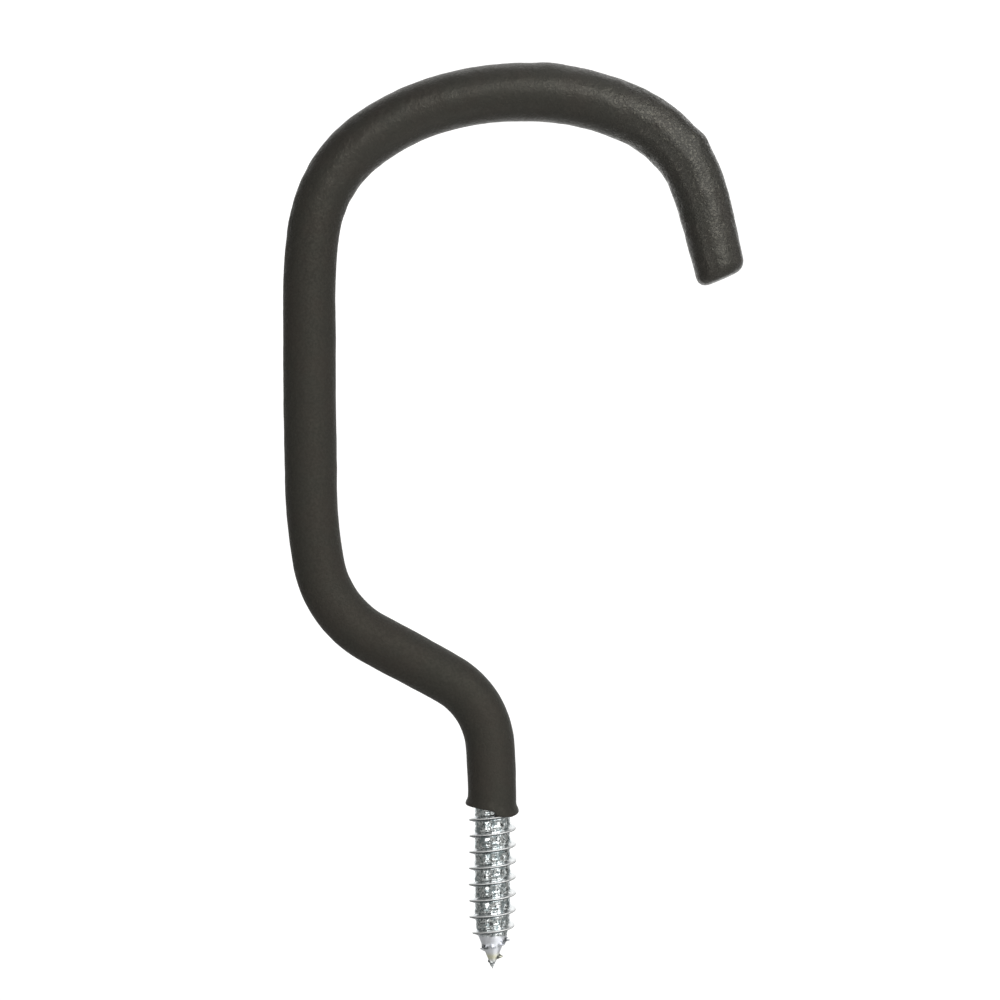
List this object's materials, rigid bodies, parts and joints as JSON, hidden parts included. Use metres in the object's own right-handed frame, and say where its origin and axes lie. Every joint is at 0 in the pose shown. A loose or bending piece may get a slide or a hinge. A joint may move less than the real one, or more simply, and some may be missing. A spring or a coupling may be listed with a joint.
{
  "type": "bicycle storage hook",
  "caption": "Vinyl-dipped steel wheel hook with a long shank offset from a lag screw thread, for hanging a bicycle by its wheel.",
  "frame": {"origin": "on the screw's axis, where the coating ends and the wall or joist begins", "axes": "+Z along the screw's axis towards the hook, so the screw points down -Z; the hook lies in the XZ plane and opens towards +X; Y is through the rod's thickness"},
  "size_m": [0.0804, 0.01, 0.158],
  "materials": {
    "zinc_plated_steel": "satin",
    "dipped_vinyl": "matte"
  },
  "bodies": {
    "root": {"hook_rod": "zinc_plated_steel", "vinyl_coating": "dipped_vinyl"}
  },
  "joints": []
}
